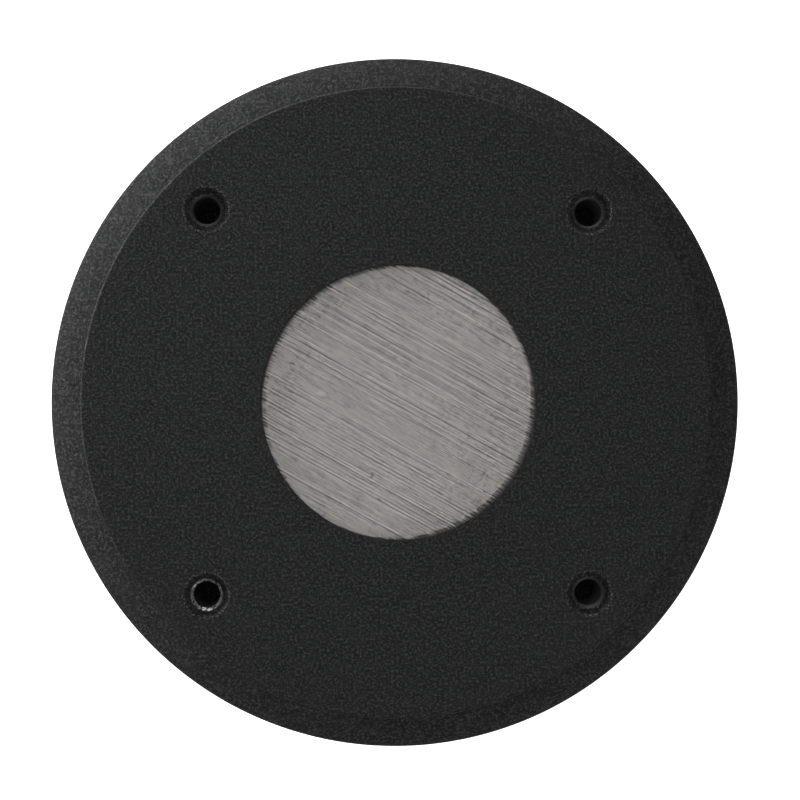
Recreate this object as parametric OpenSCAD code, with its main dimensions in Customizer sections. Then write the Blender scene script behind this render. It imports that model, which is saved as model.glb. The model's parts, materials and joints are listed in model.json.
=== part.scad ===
// Bolt-on compression driver for a car: a high-frequency unit that drives a horn through a 2 inch throat.
// The mounting face is the plane z = 0, the throat opens towards +Z and the body reaches down along -Z.
// Lengths are in millimetres. A depth is measured down from the mounting face.

/* [Front plate] */
// Outer diameter of the front plate
plate_d = 130; // [128:1:136]
// Thickness of the front plate
plate_t = 13; // [12.5:0.5:15]
// Diameter of the raised mounting land
land_d = 118; // [114:1:119]
// Height of the land above the shoulder
land_h = 0.5; // [0.3:0.1:1]
// Width of the slope at the foot of the land
land_foot = 0.3; // [0.2:0.1:0.6]
// Fall of the shoulder from the foot of the land to the rim
shoulder_drop = 2.2; // [1.5:0.1:3]
// Radius of the rounded rim
rim_round = 1.3; // [0.8:0.1:1.8]
// Diameter of the opening in the front lip
opening_d = 51.4; // [50.8:0.1:52]
// Thickness of the front lip, which holds the screen in
lip_t = 0.6; // [0.5:0.1:1]
// Diameter of the bore that takes the pole piece and the screen
seat_d = 62; // [60:0.5:64]

/* [Horn bolts] */
// Bolt circle of the horn bolts
bolt_pcd = 101.6; // [101:0.1:102]
// Number of horn bolts
bolt_count = 4; // [2:2:4]
// Diameter of each hole before its M6 thread
bolt_hole_d = 5; // [4.8:0.1:5.2]
// Diameter of the countersink at each hole's mouth
bolt_mouth_d = 8.5; // [7.5:0.1:9]
// Depth of each blind hole, without the drill point
bolt_depth = 10.3; // [8:0.1:10.5]

/* [Screen] */
// Thickness of the woven wire screen
screen_t = 0.25; // [0.2:0.05:0.4]
// Thickness of the ring between the screen and the dust cloth
screen_ring_t = 1.6; // [0.8:0.1:2]
// How far that ring reaches in past the edge of the opening
screen_ring_reach = 1; // [0.5:0.1:1.5]
// Thickness of the dust cloth
cloth_t = 0.4; // [0.2:0.1:0.6]

/* [Motor] */
// Throat diameter at the pole piece's front
throat_d = 50.8; // [50:0.1:50.8]
// Diameter of the pole at the magnetic gap, under its copper sleeve
pole_d = 73.2; // [72.8:0.1:73.4]
// Thickness of the copper sleeve
sleeve_t = 0.4; // [0.2:0.1:0.5]
// Outer diameter of the ring magnet
magnet_d = 114; // [108:1:114]
// Inner diameter of the ring magnet
magnet_bore_d = 89; // [86:1:92]
// Thickness of the ring magnet
magnet_t = 9; // [8:0.5:11]
// Outer diameter of the top plate, its band and the rear cover's flange
motor_d = 122; // [120:1:123]
// Thickness of the top plate
top_plate_t = 8; // [7:0.5:10]
// Diameter of the top plate's bore, which is the outside of the gap
gap_d = 76.9; // [76.8:0.1:77.2]

/* [Diaphragm] */
// Inner diameter of the voice coil former
coil_d = 74.8; // [74.6:0.1:74.9]
// Thickness of the former
former_t = 0.2; // [0.15:0.05:0.2]
// Radial thickness of the winding
winding_t = 0.4; // [0.3:0.05:0.4]
// Height of the winding
winding_h = 5; // [4:0.5:6]
// Height of the dome above its rim
dome_h = 18; // [16:0.5:19]
// Thickness of the dome
dome_t = 0.3; // [0.2:0.1:0.3]
// Height of the rim of the dome above the top plate
rim_lift = 2.2; // [2:0.1:2.4]
// Radius of the half roll of the surround
roll_r = 2.4; // [2.2:0.1:2.4]
// Air gap between the dome and the phase plug
plug_gap = 0.9; // [0.7:0.1:1.2]
// Number of ring slits in the phase plug
slit_count = 3; // [2:1:3]

/* [Rear cover] */
// Height of the rear cover
cover_h = 35; // [34:0.5:40]
// Outer diameter of the cover's cup
cup_d = 106; // [106:0.5:107]
// Wall of the cup
cup_wall = 2.5; // [2:0.1:2.5]
// Thickness of the cover's flange
flange_t = 5; // [4:0.5:6]
// Radius between the cup's side and its back
cup_round = 6; // [3:0.5:7]
// Thickness of the gasket
gasket_t = 1; // [0.5:0.1:1.5]
// Thickness of the damping foam
foam_t = 6; // [3:0.5:8]

/* [Terminals] */
// Distance between the two terminal posts
post_pitch = 16; // [15:0.5:17]
// Width of the terminal block
block_w = 38; // [38:0.5:40]
// Height of the terminal block
block_h = 13; // [12:0.5:14]
// Thickness of the terminal block
block_t = 7; // [7:0.5:8]
// Travel of each push button
button_travel = 2.5; // [2:0.1:2.5]

/* [Hidden] */
$fn = 96;

// Clearances, and how far a cutter reaches past the face that it cuts
screw_gap = 0.05;
slip_gap = 0.02;
running_gap = 0.06;
screw_end_gap = 0.5;
past = 1;

// Radii
plate_r = plate_d / 2;
land_r = land_d / 2;
seat_r = seat_d / 2;
disc_r = seat_r - 0.2;
motor_r = motor_d / 2;
pole_r = pole_d / 2;
pole_root_r = pole_r + 3.4;
plug_seat_r = 32;
plug_exit_r = 20.9;
foot_r = land_r + land_foot;
edge_chamfer = 0.8;

// Levels of the stack, from the mounting face down
z_screen = -lip_t;
z_screen_ring = z_screen - screen_t;
z_cloth = z_screen_ring - screen_ring_t;
z_pole = z_cloth - cloth_t;
z_magnet = -plate_t;
z_top = z_magnet - magnet_t;
z_gap_back = z_top - top_plate_t;
z_neck = z_top + 1;
z_plug = z_gap_back + 6;
z_cover = z_gap_back - gasket_t;
z_flange_back = z_cover - flange_t;
z_back = z_cover - cover_h;
cup_floor = 3;
z_cup_floor = z_back + cup_floor;

// Diaphragm
coil_r = coil_d / 2;
z_coil = z_top - 1.5;
z_rim = z_gap_back - rim_lift;
rim_w = 1.2;
dome_r = (coil_r * coil_r + dome_h * dome_h) / (2 * dome_h);
z_dome_centre = z_rim - dome_h + dome_r;
plug_face_r = dome_r - dome_t / 2 - plug_gap;
plug_r = coil_r - 1;
z_surround = z_rim - dome_t;
surround_t = 0.3;
roll_mid_r = coil_r + 3.8;
surround_rim_r = roll_mid_r + 4.8;
ring_in_r = roll_mid_r + 3.4;
ring_out_r = 50;
ring_t = 4.5;
z_ring_back = z_gap_back - ring_t;
ring_screw_r = 47.4;
lead_t = 0.15;
lead_gap = 0.05;
lead_angle = 3;
lead_turn = atan2(post_pitch / 2, ring_screw_r - 1);

// Screws
cover_screw_count = 6;
cover_screw_r = 57;
m4_r = 2;
m4_head_r = 3.5;
m4_head_h = 4;
m4_depth = 6;
m25_r = 1.25;
m25_head_r = 2.4;
m25_head_h = 1.6;
m25_depth = 5;
m3_r = 1.5;
m3_head_r = 2.6;
m3_head_h = 1.8;
m3_seat_depth = 2;
pin_r = 1;
pin_depth = 4;
cross_w = 0.6;
cross_h = 0.9;

// Terminals, with the posts' axes along Y at the side of the cup that faces -Y
cup_r = cup_d / 2;
cavity_r = cup_r - cup_wall;
flat_y = -cup_r + 4.5;
pad_t = 3.5;
pad_y = flat_y + pad_t;
z_pad = z_flange_back - 1;
z_flat = z_flange_back - 6;
z_post = z_flange_back - 16.5;
block_y = flat_y - block_t;
post_r = 2;
post_tip = 4.4;
collar_r = 3.2;
collar_t = 0.8;
well_r = 4.4;
well_depth = 5;
button_r = 4;
button_head_r = 4.8;
button_len = 7.5;
button_lift = 0.4;
wire_hole_r = 1;
wire_hole_lift = 1.6;
spring_r = 2.9;
spring_wire_r = 0.25;
spring_turns = 4;
lug_t = 0.5;
nut_t = 2.4;
nut_flats = 7;
block_screw_x = block_w / 2 - 3.6;
side_drill = 20;
tab_w = 5;
tab_t = 0.5;
tab_ear_h = 3.5;
tab_front_y = -44.2;
tab_back_y = -48.5;

// Route of each lead wire, as the control points of one curve in the plane of its post: [y, z]
wire_r = 0.8;
wire_route = [[-43.4, -36.9], [-40, -38], [-40, -44], [-43.7, -47.5]];

function spot(radius, angle) = [radius * cos(angle), radius * sin(angle), 0];

// A point at share t of the curve with four control points p
function curve(p, t) =
    pow(1 - t, 3) * p[0] + 3 * pow(1 - t, 2) * t * p[1] + 3 * (1 - t) * t * t * p[2] + pow(t, 3) * p[3];

// The direction of that curve at share t
function heading(p, t) =
    3 * pow(1 - t, 2) * (p[1] - p[0]) + 6 * (1 - t) * t * (p[2] - p[1]) + 3 * t * t * (p[3] - p[2]);

// Faces of a tube swept through rings of equal size, with its two ends closed
function tube_faces(rings, sides) = concat(
    [[for (s = [0 : sides - 1]) s]],
    [for (k = [0 : rings - 2], s = [0 : sides - 1])
        [k * sides + s, (k + 1) * sides + s, (k + 1) * sides + (s + 1) % sides, k * sides + (s + 1) % sides]],
    [[for (s = [sides - 1 : -1 : 0]) (rings - 1) * sides + s]]
);

module ring(outer_r, inner_r, top, bottom) {
    translate([0, 0, bottom])
        difference() {
            cylinder(r = outer_r, h = top - bottom);
            translate([0, 0, -past]) cylinder(r = inner_r, h = top - bottom + 2 * past);
        }
}

module disc(radius, top, bottom) {
    translate([0, 0, bottom]) cylinder(r = radius, h = top - bottom);
}

// Places its child at equal angles round the axis
module around(count, radius, start = 0) {
    for (i = [0 : count - 1])
        translate(spot(radius, start + i * 360 / count)) children();
}

// Places its child, drawn along +Z with z = 0 on the terminal block's face, to point out of the block
module at_post(side) {
    translate([side * post_pitch / 2, block_y, z_post]) rotate([90, 0, 0]) children();
}

// A hole across a post or button, along the driver's axis
module cross_hole(lift) {
    translate([0, -button_head_r - past, lift])
        rotate([-90, 0, 0]) cylinder(r = wire_hole_r, h = 2 * (button_head_r + past), $fn = 32);
}

// A cross recess in a screw head whose outer face is at z = top and looks towards -Z
module cross_recess(length, top) {
    for (turn = [0, 90])
        rotate(turn)
            translate([-length / 2, -cross_w / 2, top - past]) cube([length, cross_w, cross_h + past]);
}

// Front plate

// Half section of the plate: the land, its foot, the sloped shoulder, a round rim and a chamfered rear edge
module plate_section() {
    corner_z = -land_h - shoulder_drop;
    slope = atan(shoulder_drop / (plate_r - foot_r));
    rise = 0.005;
    centre_r = plate_r - rim_round;
    centre_z = corner_z - rim_round * (1 - sin(slope)) / cos(slope) + rise;
    reach = 2 * rim_round;
    difference() {
        polygon([
            [0, 0],
            [land_r, 0],
            [foot_r, -land_h],
            [plate_r, corner_z],
            [plate_r, -plate_t + edge_chamfer],
            [plate_r - edge_chamfer, -plate_t],
            [0, -plate_t]
        ]);
        difference() {
            polygon([
                [centre_r, centre_z],
                [centre_r + reach, centre_z],
                [centre_r + reach, centre_z + reach],
                [centre_r + reach * sin(slope), centre_z + reach * cos(slope)]
            ]);
            translate([centre_r, centre_z]) circle(r = rim_round);
        }
    }
}

module bolt_hole() {
    mouth = bolt_mouth_d / 2;
    hole = bolt_hole_d / 2;
    drill_point = hole * tan(31);
    rotate_extrude()
        polygon([
            [0, past],
            [mouth + past, past],
            [hole, hole - mouth],
            [hole, -bolt_depth],
            [0, -bolt_depth - drill_point]
        ]);
}

module front_plate() {
    color("#2c2c2e")
        difference() {
            rotate_extrude() plate_section();
            disc(opening_d / 2, past, -plate_t - past);
            disc(seat_r, z_screen, -plate_t - past);
            around(bolt_count, bolt_pcd / 2, 45) bolt_hole();
        }
}

// Screen

module screen_mesh() {
    color("#918d8a") disc(disc_r, z_screen, z_screen_ring);
}

module screen_ring() {
    color("#303030") ring(disc_r, opening_d / 2 - screen_ring_reach, z_screen_ring, z_cloth);
}

module dust_cloth() {
    color("#b9b4ac") disc(disc_r, z_cloth, z_pole);
}

// Motor

module pole_piece() {
    color("#8d9094")
        rotate_extrude()
            polygon([
                [throat_d / 2, z_pole],
                [seat_r, z_pole],
                [seat_r, z_magnet],
                [pole_root_r, z_magnet],
                [pole_r, z_neck],
                [pole_r, z_gap_back],
                [plug_seat_r, z_gap_back],
                [plug_seat_r, z_plug],
                [plug_exit_r, z_plug]
            ]);
}

module shorting_sleeve() {
    color("#b4673a") ring(pole_r + sleeve_t, pole_r, z_neck - edge_chamfer, z_gap_back);
}

module magnet_ring() {
    color("#b8babd") ring(magnet_d / 2, magnet_bore_d / 2, z_magnet, z_top);
}

module magnet_band() {
    color("#1d1d1f") ring(motor_r, magnet_d / 2 + 0.2, z_magnet, z_top);
}

module top_plate() {
    color("#a5a49c")
        difference() {
            rotate_extrude()
                polygon([
                    [gap_d / 2, z_top],
                    [motor_r, z_top],
                    [motor_r, z_gap_back + edge_chamfer],
                    [motor_r - edge_chamfer, z_gap_back],
                    [gap_d / 2, z_gap_back]
                ]);
            around(cover_screw_count, cover_screw_r)
                disc(m4_r + screw_gap, z_gap_back + m4_depth, z_gap_back - past);
            around(4, ring_screw_r, 45)
                disc(m25_r + screw_gap, z_gap_back + m25_depth, z_gap_back - past);
            around(2, ring_screw_r) disc(pin_r + slip_gap, z_gap_back + pin_depth, z_gap_back - past);
        }
}

// Phase plug

// Half section of the plug without its slits: a base in the pole's seat and a head under the dome
module plug_section() {
    intersection() {
        translate([0, z_dome_centre]) circle(r = plug_face_r);
        union() {
            translate([0, z_gap_back]) square([plug_seat_r - slip_gap, z_plug - z_gap_back]);
            translate([0, z_gap_back - dome_h - past]) square([plug_r, dome_h + past]);
        }
    }
}

// Slit number i, narrow at the dome and wider where it meets the throat
module slit_section(i) {
    exit_r = plug_exit_r * (i - 0.45) / slit_count;
    face_r = plug_r * i / (slit_count + 0.6);
    face_z = z_dome_centre - sqrt(plug_face_r * plug_face_r - face_r * face_r);
    slope = (face_r - exit_r) / (z_plug - face_z);
    exit_w = 2.2;
    face_w = 0.8;
    polygon([
        [exit_r - exit_w / 2 - slope * past, z_plug + past],
        [exit_r + exit_w / 2 - slope * past, z_plug + past],
        [face_r + face_w / 2 + slope * past, face_z - past],
        [face_r - face_w / 2 + slope * past, face_z - past]
    ]);
}

module phase_plug() {
    web_t = 1.5;
    web_h = 5;
    color("#6f7478") {
        rotate_extrude()
            difference() {
                plug_section();
                for (i = [1 : slit_count]) slit_section(i);
            }
        for (turn = [0 : 90 : 270])
            rotate(turn)
                translate([0, -web_t / 2, z_plug - web_h]) cube([plug_exit_r, web_t, web_h]);
    }
}

// Diaphragm

module dome() {
    color("#9a9287")
        rotate_extrude() {
            intersection() {
                translate([0, z_dome_centre])
                    difference() {
                        circle(r = dome_r + dome_t / 2);
                        circle(r = dome_r - dome_t / 2);
                    }
                translate([0, z_rim - dome_h - past]) square([coil_r + rim_w, dome_h + past]);
            }
            translate([coil_r - dome_t / 2, z_rim - dome_t]) square([rim_w + dome_t / 2, dome_t]);
        }
}

module coil_former() {
    color("#c8a35a") ring(coil_r + former_t, coil_r, z_coil, z_rim);
}

module voice_coil() {
    color("#b06a35")
        ring(coil_r + former_t + winding_t, coil_r + former_t, z_coil, z_coil - winding_h);
}

// Half roll drawn between two radii of the same centre, below a level on the side away from the face
module roll_section(outer, inner, level) {
    lowest = z_surround - outer - past;
    intersection() {
        translate([roll_mid_r, z_surround])
            difference() {
                circle(r = outer);
                circle(r = inner);
            }
        translate([roll_mid_r - outer - past, lowest]) square([2 * (outer + past), level - lowest]);
    }
}

module surround() {
    inner_flat_r = coil_r + 0.6;
    color("#3a3431")
        rotate_extrude() {
            roll_section(roll_r + surround_t, roll_r, z_surround);
            translate([inner_flat_r, z_surround - surround_t])
                square([roll_mid_r - roll_r - inner_flat_r, surround_t]);
            translate([roll_mid_r + roll_r, z_surround - surround_t])
                square([surround_rim_r - roll_mid_r - roll_r, surround_t]);
        }
}

// A flat lead from the coil, over the surround and up onto the diaphragm ring
module coil_lead() {
    over = roll_r + surround_t + lead_gap;
    flat_z = z_surround - surround_t - lead_gap;
    climb_r = ring_in_r - 0.35;
    end_r = 48.5;
    rotate(-90 - lead_angle / 2)
        rotate_extrude(angle = lead_angle) {
            roll_section(over + lead_t, over, flat_z);
            translate([coil_r + 0.6, flat_z - lead_t])
                square([roll_mid_r - over - coil_r - 0.6, lead_t]);
            translate([roll_mid_r + over, flat_z - lead_t])
                square([climb_r + lead_t - roll_mid_r - over, lead_t]);
            translate([climb_r, z_ring_back - lead_t])
                square([lead_t, flat_z - z_ring_back + lead_t]);
            translate([climb_r, z_ring_back - lead_t]) square([end_r - climb_r, lead_t]);
        }
}

module coil_leads() {
    color("#c9c4b8")
        for (side = [-1, 1]) rotate(side * lead_turn) coil_lead();
}

module diaphragm_ring() {
    slot_r = surround_rim_r + slip_gap;
    color("#202124")
        difference() {
            rotate_extrude()
                polygon([
                    [ring_in_r, z_gap_back],
                    [ring_out_r, z_gap_back],
                    [ring_out_r, z_ring_back],
                    [ring_in_r, z_ring_back],
                    [ring_in_r, z_surround - surround_t],
                    [slot_r, z_surround - surround_t],
                    [slot_r, z_surround],
                    [ring_in_r, z_surround]
                ]);
            around(4, ring_screw_r, 45)
                disc(m25_r + 2 * screw_gap, z_gap_back + past, z_ring_back - past);
            around(2, ring_screw_r) disc(pin_r + slip_gap, z_gap_back + past, z_ring_back - past);
        }
}

module diaphragm_screws() {
    color("#8a8a86")
        around(4, ring_screw_r, 45) {
            disc(m25_r, z_gap_back + m25_depth - screw_end_gap, z_ring_back);
            difference() {
                disc(m25_head_r, z_ring_back, z_ring_back - m25_head_h);
                cross_recess(3, z_ring_back - m25_head_h);
            }
        }
}

module locating_pins() {
    pin_inset = 0.5;
    color("#c4c6c8") around(2, ring_screw_r) disc(pin_r, z_gap_back + pin_depth, z_ring_back + pin_inset);
}

module solder_tabs() {
    base_z = z_ring_back - lead_t - tab_t;
    color("#c8a24a")
        for (side = [-1, 1])
            translate([side * post_pitch / 2 - tab_w / 2, 0, 0]) {
                translate([0, tab_back_y, base_z]) cube([tab_w, tab_front_y - tab_back_y, tab_t]);
                translate([0, tab_front_y - tab_t, base_z - tab_ear_h]) cube([tab_w, tab_t, tab_ear_h]);
            }
}

// Rear cover

module cover_gasket() {
    hole_gap = 0.3;
    color("#3b3b3b")
        difference() {
            ring(motor_r - 0.5, cavity_r, z_gap_back, z_cover);
            around(cover_screw_count, cover_screw_r) disc(m4_r + hole_gap, z_gap_back + past, z_cover - past);
        }
}

module cup_section() {
    translate([0, z_back + cup_round]) square([cup_r, z_cover - z_back - cup_round]);
    translate([0, z_back]) square([cup_r - cup_round, cup_round]);
    translate([cup_r - cup_round, z_back + cup_round]) circle(r = cup_round);
}

// A rib between the flange and the side of the cup
module gusset() {
    gusset_t = 3;
    gusset_h = 10;
    root_r = cup_r - 1;
    rib_foot_r = motor_r - 1.5;
    translate([0, gusset_t / 2, 0])
        rotate([90, 0, 0])
            linear_extrude(gusset_t)
                polygon([
                    [root_r, z_flange_back + past],
                    [rib_foot_r, z_flange_back + past],
                    [rib_foot_r, z_flange_back],
                    [cup_r, z_flange_back - gusset_h],
                    [root_r, z_flange_back - gusset_h]
                ]);
}

module rear_cover() {
    hole_gap = 0.15;
    recess_r = 27;
    recess_depth = 0.8;
    color("#343638")
        difference() {
            union() {
                disc(motor_r, z_cover, z_flange_back);
                rotate_extrude() cup_section();
                for (turn = [-30 : 60 : 210]) rotate(turn) gusset();
            }
            disc(cavity_r, z_cover + past, z_pad);
            intersection() {
                disc(cavity_r, z_pad + past, z_cup_floor);
                translate([-cup_r, pad_y, z_back]) cube([2 * cup_r, 2 * cup_r, cover_h]);
            }
            translate([-cup_r, flat_y - cup_r, z_back - past])
                cube([2 * cup_r, cup_r, z_flat - z_back + past]);
            disc(recess_r, z_back + recess_depth, z_back - past);
            around(cover_screw_count, cover_screw_r)
                disc(m4_r + hole_gap, z_cover + past, z_flange_back - past);
            for (side = [-1, 1]) {
                at_post(side)
                    translate([0, 0, -side_drill]) cylinder(r = post_r + 2 * screw_gap, h = side_drill);
                translate([side * block_screw_x, block_y, z_post])
                    rotate([-90, 0, 0]) cylinder(r = m3_r + screw_gap, h = side_drill);
            }
        }
}

module damping_foam() {
    foam_r = 40;
    color("#4a4a4c") disc(foam_r, z_cup_floor + foam_t, z_cup_floor);
}

module cover_screws() {
    socket_flats = 3;
    socket_r = socket_flats / 2 / cos(30);
    socket_depth = 2;
    color("#1a1a1b")
        around(cover_screw_count, cover_screw_r) {
            disc(m4_r, z_gap_back + m4_depth - screw_end_gap, z_flange_back);
            difference() {
                disc(m4_head_r, z_flange_back, z_flange_back - m4_head_h);
                translate([0, 0, z_flange_back - m4_head_h - past])
                    cylinder(r = socket_r, h = socket_depth + past, $fn = 6);
            }
        }
}

// Terminals

// Outline of the block with round corners, seen along the posts
module block_outline() {
    corner_r = 2;
    x = block_w / 2 - corner_r;
    y = block_h / 2 - corner_r;
    square([block_w, 2 * y], center = true);
    square([2 * x, block_h], center = true);
    for (i = [-1, 1], j = [-1, 1]) translate([i * x, j * y]) circle(r = corner_r);
}

module terminal_block() {
    head_gap = 0.2;
    color("#19191a")
        difference() {
            translate([0, flat_y, z_post]) rotate([90, 0, 0]) linear_extrude(block_t) block_outline();
            for (side = [-1, 1]) {
                at_post(side) translate([0, 0, -well_depth]) cylinder(r = well_r, h = well_depth + past);
                at_post(side)
                    translate([0, 0, -block_t - past]) cylinder(r = post_r + 2 * screw_gap, h = block_t);
                translate([side * block_screw_x, block_y, z_post])
                    rotate([-90, 0, 0]) {
                        translate([0, 0, -past])
                            cylinder(r = m3_r + 2 * screw_gap, h = block_t + 2 * past);
                        translate([0, 0, -past])
                            cylinder(r = m3_head_r + head_gap, h = m3_seat_depth + past);
                    }
            }
        }
}

module block_screws() {
    color("#8a8a86")
        for (side = [-1, 1])
            translate([side * block_screw_x, block_y + m3_seat_depth, z_post])
                rotate([-90, 0, 0]) {
                    cylinder(r = m3_r, h = block_t - m3_seat_depth + pad_t);
                    difference() {
                        translate([0, 0, -m3_head_h]) cylinder(r = m3_head_r, h = m3_head_h);
                        cross_recess(3.4, -m3_head_h);
                    }
                }
}

module post() {
    tail_end = 1;
    tail = block_t + pad_t + lug_t + nut_t + tail_end;
    difference() {
        union() {
            translate([0, 0, -tail]) cylinder(r = post_r, h = tail + post_tip);
            translate([0, 0, -well_depth]) cylinder(r = collar_r, h = collar_t);
        }
        cross_hole(wire_hole_lift);
    }
}

module red_post() {
    color("#c9cacb") at_post(1) post();
}

module black_post() {
    color("#c9cacb") at_post(-1) post();
}

// A cap that slides on its post, drawn at rest
module button() {
    cap_t = 0.8;
    bore_depth = button_len - cap_t;
    head_t = 1.6;
    translate([0, 0, button_lift])
        difference() {
            union() {
                cylinder(r = button_r, h = button_len);
                translate([0, 0, button_len - head_t]) cylinder(r = button_head_r, h = head_t);
            }
            translate([0, 0, -past]) cylinder(r = post_r + running_gap, h = bore_depth + past);
            cross_hole(wire_hole_lift + button_travel - button_lift);
        }
}

module red_button() {
    color("#b3191c") at_post(1) button();
}

module black_button() {
    color("#161617") at_post(-1) button();
}

// Coil spring from the post's collar to the button
module spring() {
    sides = 6;
    steps = 16;
    low = -well_depth + collar_t + spring_wire_r + slip_gap;
    high = button_lift - spring_wire_r - slip_gap;
    rings = spring_turns * steps + 1;
    points = [
        for (k = [0 : rings - 1], s = [0 : sides - 1])
            let (
                turn = 360 * k / steps,
                reach = spring_r + spring_wire_r * cos(360 * s / sides),
                rise = low + (high - low) * k / (rings - 1) + spring_wire_r * sin(360 * s / sides)
            )
            [reach * cos(turn), reach * sin(turn), rise]
    ];
    polyhedron(points, tube_faces(rings, sides));
}

module red_spring() {
    color("#bfc1c4") at_post(1) spring();
}

module black_spring() {
    color("#bfc1c4") at_post(-1) spring();
}

module post_nuts() {
    color("#c3b27a")
        for (side = [-1, 1])
            at_post(side)
                translate([0, 0, -block_t - pad_t - lug_t - nut_t])
                    difference() {
                        cylinder(r = nut_flats / 2 / cos(30), h = nut_t, $fn = 6);
                        translate([0, 0, -past]) cylinder(r = post_r + screw_gap, h = nut_t + 2 * past);
                    }
}

// A washer on each post with a tail towards the diaphragm
module solder_lugs() {
    washer_r = 3.6;
    tail_w = 2.5;
    tail_l = 8.5;
    color("#d0cdbf")
        for (side = [-1, 1])
            at_post(side)
                translate([0, 0, -block_t - pad_t - lug_t])
                    difference() {
                        union() {
                            cylinder(r = washer_r, h = lug_t);
                            translate([-tail_w / 2, 0, 0]) cube([tail_w, tail_l, lug_t]);
                        }
                        translate([0, 0, -past]) cylinder(r = post_r + screw_gap, h = lug_t + 2 * past);
                    }
}

// A lead wire from a solder tab to the lug behind the post on the same side
module lead_wire(side) {
    sides = 8;
    rings = 17;
    points = [
        for (k = [0 : rings - 1], s = [0 : sides - 1])
            let (
                middle = curve(wire_route, k / (rings - 1)),
                along = heading(wire_route, k / (rings - 1)),
                across = [along[1], -along[0]] / norm(along),
                out = wire_r * cos(360 * s / sides)
            )
            [
                side * post_pitch / 2 + wire_r * sin(360 * s / sides),
                middle[0] + out * across[0],
                middle[1] + out * across[1]
            ]
    ];
    polyhedron(points, tube_faces(rings, sides));
}

module red_wire() {
    color("#b3191c") lead_wire(1);
}

module black_wire() {
    color("#161617") lead_wire(-1);
}

front_plate();
screen_mesh();
screen_ring();
dust_cloth();
pole_piece();
shorting_sleeve();
magnet_ring();
magnet_band();
top_plate();
phase_plug();
dome();
coil_former();
voice_coil();
surround();
coil_leads();
diaphragm_ring();
diaphragm_screws();
locating_pins();
solder_tabs();
cover_gasket();
rear_cover();
damping_foam();
cover_screws();
terminal_block();
block_screws();
post_nuts();
solder_lugs();
red_post();
black_post();
red_button();
black_button();
red_spring();
black_spring();
red_wire();
black_wire();
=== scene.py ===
"""Looks of a bolt-on compression driver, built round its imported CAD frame. Lengths are in millimetres."""

import json
import math
import random

import bmesh
import bpy
import numpy as np
from mathutils import Matrix, Vector


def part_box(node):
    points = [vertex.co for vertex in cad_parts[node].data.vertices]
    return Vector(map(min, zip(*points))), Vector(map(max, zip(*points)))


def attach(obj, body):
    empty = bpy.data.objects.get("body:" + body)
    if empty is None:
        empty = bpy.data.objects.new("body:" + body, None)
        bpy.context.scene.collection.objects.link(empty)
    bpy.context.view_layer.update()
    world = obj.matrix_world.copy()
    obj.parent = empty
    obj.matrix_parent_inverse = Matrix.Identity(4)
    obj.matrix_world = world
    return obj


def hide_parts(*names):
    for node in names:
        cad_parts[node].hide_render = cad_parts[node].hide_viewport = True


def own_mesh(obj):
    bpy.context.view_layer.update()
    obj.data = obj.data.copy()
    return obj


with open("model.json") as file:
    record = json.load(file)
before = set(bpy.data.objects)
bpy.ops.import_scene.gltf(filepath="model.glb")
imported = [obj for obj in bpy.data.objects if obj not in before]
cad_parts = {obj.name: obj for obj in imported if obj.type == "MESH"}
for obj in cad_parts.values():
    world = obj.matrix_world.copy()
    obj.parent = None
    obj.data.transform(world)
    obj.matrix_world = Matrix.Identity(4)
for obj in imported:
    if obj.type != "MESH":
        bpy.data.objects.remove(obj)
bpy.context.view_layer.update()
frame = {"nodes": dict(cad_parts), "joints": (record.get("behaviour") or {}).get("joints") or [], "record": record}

MM = 0.001
ROUND = 384          # segments round a large turned part
SMALL_ROUND = 96     # segments round a screw, post or button
FINE_HOLE = 48       # segments round a bore
ARC = 6              # segments in a small fillet
WELD = 1e-7          # corners closer than this, in metres, become one

# Tapped holes of the front plate
HOLE_COUNT = 4
HOLE_CIRCLE = 101.6
THREAD_MAJOR = 3.0
THREAD_MINOR = 2.5
THREAD_PITCH = 1.0
THREAD_DEPTH = 10.3
MOUTH = 4.25


# Reading the frame

def box(node):
    """A CAD node's lowest and highest corners, in millimetres."""
    low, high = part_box(node)
    return low / MM, high / MM


def middle(node):
    low, high = box(node)
    return (low + high) / 2


def radii(node, height):
    """How far from the axis a CAD node's corners lie at a height, least and greatest."""
    corners = np.array([v.co for v in frame["nodes"][node].data.vertices]) / MM
    level = corners[np.abs(corners[:, 2] - height) < 0.01]
    reach = np.hypot(level[:, 0], level[:, 1])
    return float(reach.min()), float(reach.max())


# Outlines

def rounded(corners):
    """A closed outline through (x, y, radius) corners, each turned by an arc of that radius."""
    points = []
    for i, (x, y, radius) in enumerate(corners):
        here = np.array([x, y], float)
        if radius == 0:
            points.append(here)
            continue
        before = np.array(corners[i - 1][:2]) - here
        after = np.array(corners[(i + 1) % len(corners)][:2]) - here
        before, after = before / np.linalg.norm(before), after / np.linalg.norm(after)
        half = math.acos(np.clip(before @ after, -1, 1)) / 2
        centre = here + (before + after) / np.linalg.norm(before + after) * radius / math.sin(half)
        first = here + before * radius / math.tan(half) - centre
        last = here + after * radius / math.tan(half) - centre
        sweep = math.pi - 2 * half
        count = max(2, math.ceil(ARC * sweep / (math.pi / 2) * (1 + radius / 2)))
        for k in range(count + 1):
            t = k / count
            blend = first * math.sin((1 - t) * sweep) + last * math.sin(t * sweep)
            points.append(centre + blend / math.sin(sweep))
    return points


def rounded_rectangle(width, height, radius):
    """The outline of a rectangle with round corners, with as many points whatever its size."""
    steps = 8
    points = []
    for corner, (x, y) in enumerate(((1, 1), (-1, 1), (-1, -1), (1, -1))):
        for k in range(steps + 1):
            angle = math.pi / 2 * (corner + k / steps)
            points.append((
                x * (width / 2 - radius) + radius * math.cos(angle),
                y * (height / 2 - radius) + radius * math.sin(angle),
            ))
    return points


# Meshes

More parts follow.
